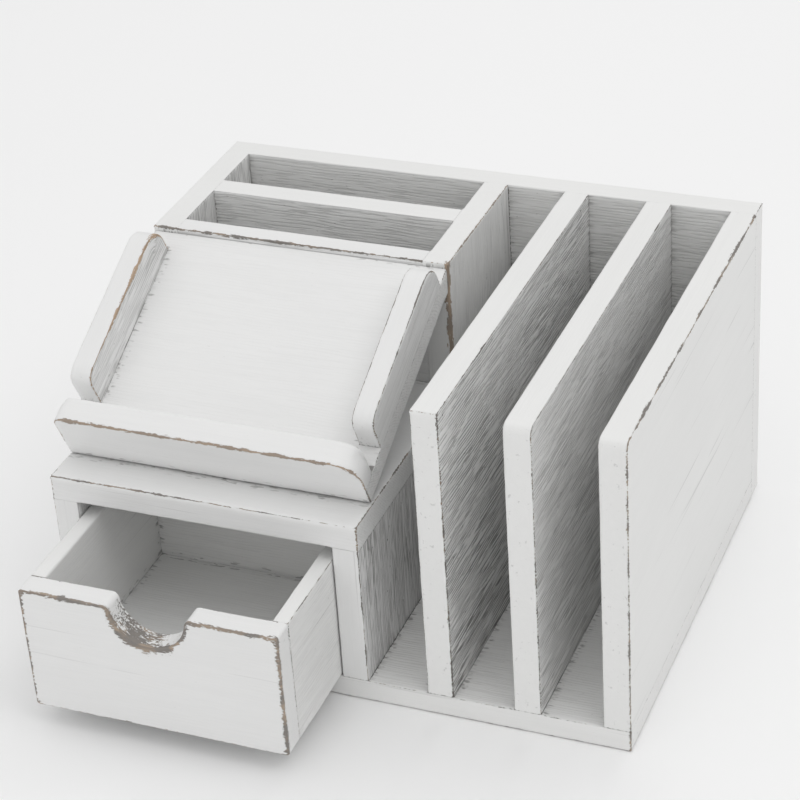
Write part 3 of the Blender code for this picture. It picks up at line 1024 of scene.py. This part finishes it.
def notched_outline(half_width, half_height):
    """The drawer front's outline, anticlockwise, with small round corners and the finger notch."""
    reach = math.sqrt((NOTCH_RADIUS + NOTCH_SHOULDER) ** 2 - NOTCH_SHOULDER ** 2)
    lean = math.degrees(math.asin(NOTCH_SHOULDER / (NOTCH_RADIUS + NOTCH_SHOULDER)))
    w, h, r = half_width, half_height, PANEL_CORNER
    shoulder = h - NOTCH_SHOULDER
    corners = [
        arc((-w + r, -h + r), r, 180, 270, CORNER_STEPS),
        arc((w - r, -h + r), r, 270, 360, CORNER_STEPS),
        arc((w - r, h - r), r, 0, 90, CORNER_STEPS),
        arc((reach, shoulder), NOTCH_SHOULDER, 90, 180 - lean, SHOULDER_STEPS),
        arc((0, h), NOTCH_RADIUS, -lean, lean - 180, NOTCH_STEPS)[1:-1],
        arc((-reach, shoulder), NOTCH_SHOULDER, lean, 90, SHOULDER_STEPS),
        arc((-w + r, h - r), r, 90, 180, CORNER_STEPS),
    ]
    points = []
    for number, run in enumerate(corners):
        points += run
        start = np.array(run[-1])
        end = np.array(corners[(number + 1) % len(corners)][0])
        count = int(np.linalg.norm(end - start) / OUTLINE_STEP)
        points += [tuple(start + (end - start) * k / count) for k in range(1, count)]
    return np.array(points)


def unit_rows(rows):
    return rows / np.linalg.norm(rows, axis=1)[:, None]


def make_drawer_front(board):
    """Loft the drawer front's rim from its outline, then fill its two faces."""
    half = board.half()
    outline = notched_outline(half[0], half[2])
    count = len(outline)
    ahead = np.roll(outline, -1, axis=0) - outline
    behind = outline - np.roll(outline, 1, axis=0)
    tangent = unit_rows(unit_rows(ahead) + unit_rows(behind))
    inward = np.stack([-tangent[:, 1], tangent[:, 0]], axis=1)
    line = np.concatenate([outline, np.zeros((count, 1))], axis=1)
    slow = smooth_noise(line, board.seed, SLOW_EDGE)
    quick = smooth_noise(line, board.seed + 1, QUICK_RIM)

    # How far paint is rubbed back around the rim
    notch = np.hypot(outline[:, 0], outline[:, 1] - half[2]) < NOTCH_RADIUS + NOTCH_REACH
    top = outline[:, 1] > half[2] - TOP_REACH
    left = outline[:, 0] < -half[0] + SIDE_REACH
    right = outline[:, 0] > half[0] - SIDE_REACH
    upper = np.clip((outline[:, 1] + half[2]) / (2 * half[2]), 0, 1)
    band = np.full(count, FOOT_WEAR)
    band = np.where(top, TOP_WEAR, band)
    band = np.where(left, LEFT_WEAR[0] + LEFT_WEAR[1] * upper, band)
    band = np.where(right, RIGHT_WEAR[0] + RIGHT_WEAR[1] * upper, band)
    band = np.where(notch, NOTCH_WEAR, band)
    band = np.where(top & (np.abs(outline[:, 0]) < NOTCH_RADIUS + SHOULDER_REACH), SHOULDER_WEAR, band)
    band = band * (1 + FRONT_BAND_SLOW * slow + FRONT_BAND_QUICK * quick)
    uneven = FRONT_ROUNDING + FRONT_ROUNDING_UNEVEN * slow + FRONT_ROUNDING_UNEVEN * quick
    radius = np.clip(RIM_RADIUS * uneven, FRONT_ROUNDING_LEAST, RIM_GRID[-1])

    # Rings from the front face, over the rim, to the back face: inset from the outline, and depth
    at_side = np.abs(outline[:, 0]) > half[0] - SIDE_CONTACT
    depth = 2 * half[1]
    rim = [(d, 0.0) for d in RIM_GRID[:0:-1]] + [(0.0, w) for w in RIM_GRID]
    levels = np.linspace(RIM_GRID[-1], depth - RIM_GRID[-1], RIM_MIDDLE_STEPS)
    middle = [(0.0, w) for w in levels[1:-1]]
    profile = rim + middle + [(d, depth - w) for d, w in rim[::-1]]
    rings = []
    bands = []
    for d, w in profile:
        back = w > depth / 2
        level = depth - w if back else w
        eased = np.where(at_side, SIDE_RADIUS, radius) if back else radius
        u = np.clip(eased - d, 0, None)
        v = np.clip(eased - level, 0, None)
        both = (u > 0) & (v > 0)
        scale = np.where(both, np.maximum(u, v) / np.hypot(u, v).clip(1e-9), 1.0)
        inset = np.where(both, eased - u * scale, d)
        level = np.where(both, eased - v * scale, level)
        flat_place = outline + inward * inset[:, None]
        y = depth - level if back else level
        rings.append(np.stack([flat_place[:, 0], y - half[1], flat_place[:, 1]], axis=1))
        edge_distance = max(d, depth - w if back else w)
        margin = ((BACK_WEAR if back else 1.0) * band - edge_distance) / ragged_scale(band)
        inside = NOTCH_INSIDE[0] + NOTCH_INSIDE[1] * slow
        margin = np.where(notch & (d == 0), np.maximum(margin, inside), margin)
        bands.append(margin)
    points = np.concatenate(rings)
    worn = np.concatenate(bands)
    faces = []
    index = np.arange(count)
    following = np.roll(index, -1)
    for ring in range(len(profile) - 1):
        low, high = ring * count, (ring + 1) * count
        quads = np.stack([low + index, high + index, high + following, low + following], axis=1)
        faces += quads.tolist()

    # Fill both faces inside their inner rings
    inner = outline + inward * RIM_GRID[-1]
    xs = np.arange(-half[0] + CAP_EDGE, half[0] - CAP_STEP, CAP_STEP)
    zs = np.arange(-half[2] + CAP_EDGE, half[2] - CAP_STEP, CAP_STEP)
    spread = np.array(list(itertools.product(xs, zs)))
    gaps = np.sqrt(((spread[:, None, :] - outline[None, :, :]) ** 2).sum(2))
    in_notch = np.hypot(spread[:, 0], spread[:, 1] - half[2]) < NOTCH_RADIUS + CAP_STEP
    spread = spread[(gaps.min(1) > CAP_STEP) & ~in_notch]
    seeds = [Vector(p) for p in inner] + [Vector(p) for p in spread]
    verts, _, tris, origin, _, _ = delaunay_2d_cdt(seeds, [], [list(range(count))], 1, 1e-5)
    verts = np.array([tuple(v) for v in verts])
    nearest = np.sqrt(((verts[:, None, :] - outline[None, :, :]) ** 2).sum(2))
    closest = nearest.argmin(1)
    distance = nearest.min(1)
    caps = ((0, -half[1], 1, 1.0), (len(profile) - 1, half[1], -1, BACK_WEAR))
    for first_ring, y, turn, wear_share in caps:
        start = len(points)
        added = []
        names = {}
        for number, source in enumerate(origin):
            rims = [s for s in source if s < count]
            if rims:
                names[number] = first_ring * count + rims[0]
            else:
                names[number] = start + len(added)
                added.append(number)
        cap = np.stack([verts[added][:, 0], np.full(len(added), y), verts[added][:, 1]], axis=1)
        points = np.concatenate([points, cap])
        here = band[closest[added]]
        worn = np.concatenate([worn, (wear_share * here - distance[added]) / ragged_scale(here)])
        faces += [tuple(names[k] for k in tri[::turn]) for tri in tris]
    seam = np.full(len(points), FAR)
    corner = np.full(len(points), CLEAR)
    brushed = np.full(len(points), FRONT_BRUSHED)
    grain = grain_places(board, points)
    dip = 0.5 + 0.5 * smooth_noise(points, board.seed + 9, FRONT_RIPPLE_SIZE)
    on_face = np.abs(np.abs(points[:, 1]) - half[1]) < FRONT_RIPPLE_REACH
    inwards = np.where(points[:, 1] < 0, 1, -1) * on_face
    points[:, 1] += inwards * WAVINESS * np.clip(dip, 0, 1)
    return make_piece(board, points, faces, worn, seam, brushed, grain, corner)


# ---------------------------------------------------------------- the set

def set_camera():
    azimuth = math.radians(CAMERA_AZIMUTH)
    elevation = math.radians(CAMERA_ELEVATION)
    roll = math.radians(CAMERA_ROLL)
    level = math.cos(elevation)
    back = Vector((math.sin(azimuth) * level, -math.cos(azimuth) * level, math.sin(elevation)))
    right = (-back).cross(Vector((0, 0, 1))).normalized()
    up = right.cross(-back)
    side = math.cos(roll) * right + math.sin(roll) * up
    head = -math.sin(roll) * right + math.cos(roll) * up
    data = bpy.data.cameras.new("camera")
    data.lens = CAMERA_LENS
    data.sensor_width = CAMERA_SENSOR
    data.clip_start = CAMERA_CLIP
    camera = bpy.data.objects.new("camera", data)
    place = Matrix((side, head, back)).transposed().to_4x4()
    place.translation = Vector(CAMERA_PLACE)
    camera.matrix_world = place
    bpy.context.scene.collection.objects.link(camera)
    bpy.context.scene.camera = camera


def area_light(name, place, size, power):
    data = bpy.data.lights.new(name, "AREA")
    data.shape = "DISK"
    data.size = size
    data.energy = power
    lamp = bpy.data.objects.new(name, data)
    aim = Vector(LAMP_TARGET) - Vector(place)
    lamp.location = place
    lamp.rotation_euler = aim.to_track_quat("-Z", "Y").to_euler()
    bpy.context.scene.collection.objects.link(lamp)


def make_floor():
    g = Graph("floor_paper")
    place = g.node("ShaderNodeTexCoord").outputs["Object"]
    mottle = g.noise(place, (3.0, 3.0, 3.0), 3.0)
    g.feed(g.shader.inputs["Base Color"], g.blend(mottle, FLOOR_PALE, FLOOR_DARKER))
    g.feed(g.shader.inputs["Roughness"], 0.9)
    g.feed(g.shader.inputs["Specular IOR Level"], 0.1)
    mesh = bpy.data.meshes.new("floor")
    signs = ((-1, -1), (1, -1), (1, 1), (-1, 1))
    corners = [(x * FLOOR_REACH, y * FLOOR_REACH, -FLOOR_GAP) for x, y in signs]
    mesh.from_pydata(corners, [], [(0, 1, 2, 3)])
    mesh.materials.append(g.material)
    floor = bpy.data.objects.new("floor", mesh)
    bpy.context.scene.collection.objects.link(floor)


def light_scene():
    """A white tent, brighter overhead than at the horizon, with three soft lamps."""
    world = bpy.data.worlds.new("studio")
    world.use_nodes = True
    tree = world.node_tree
    backdrop = tree.nodes["Background"]
    backdrop.inputs["Color"].default_value = (1.0, 1.0, 1.0, 1.0)
    view = tree.nodes.new("ShaderNodeTexCoord")
    parts = tree.nodes.new("ShaderNodeSeparateXYZ")
    fade = tree.nodes.new("ShaderNodeMapRange")
    fade.inputs["From Min"].default_value = 0.0
    fade.inputs["From Max"].default_value = ZENITH_HEIGHT
    fade.inputs["To Min"].default_value = HORIZON
    fade.inputs["To Max"].default_value = ZENITH
    tree.links.new(view.outputs["Generated"], parts.inputs[0])
    tree.links.new(parts.outputs["Z"], fade.inputs["Value"])
    tree.links.new(fade.outputs["Result"], backdrop.inputs["Strength"])
    bpy.context.scene.world = world
    for name, place, size, power in LAMPS:
        area_light(name, place, size, power)
    bpy.context.scene.view_settings.view_transform = "Standard"
    bpy.context.scene.view_settings.look = "None"


WORN_PAINT = paint_material("worn_white_paint", *WORN_LOOK)
BRUSHED_PAINT = paint_material("brushed_white_paint", *BRUSHED_LOOK)
STEEL = steel_material("steel_brad")

boards = [Board(name) for name in sorted(GRAIN)]
close_seams(boards)
for board in boards:
    if board.name == "drawer_front":
        make_drawer_front(board)
    else:
        make_board(board, boards)
for name, node in frame["nodes"].items():
    if name.startswith("brad_"):
        for slot in node.material_slots:
            slot.material = STEEL
set_camera()
make_floor()
light_scene()
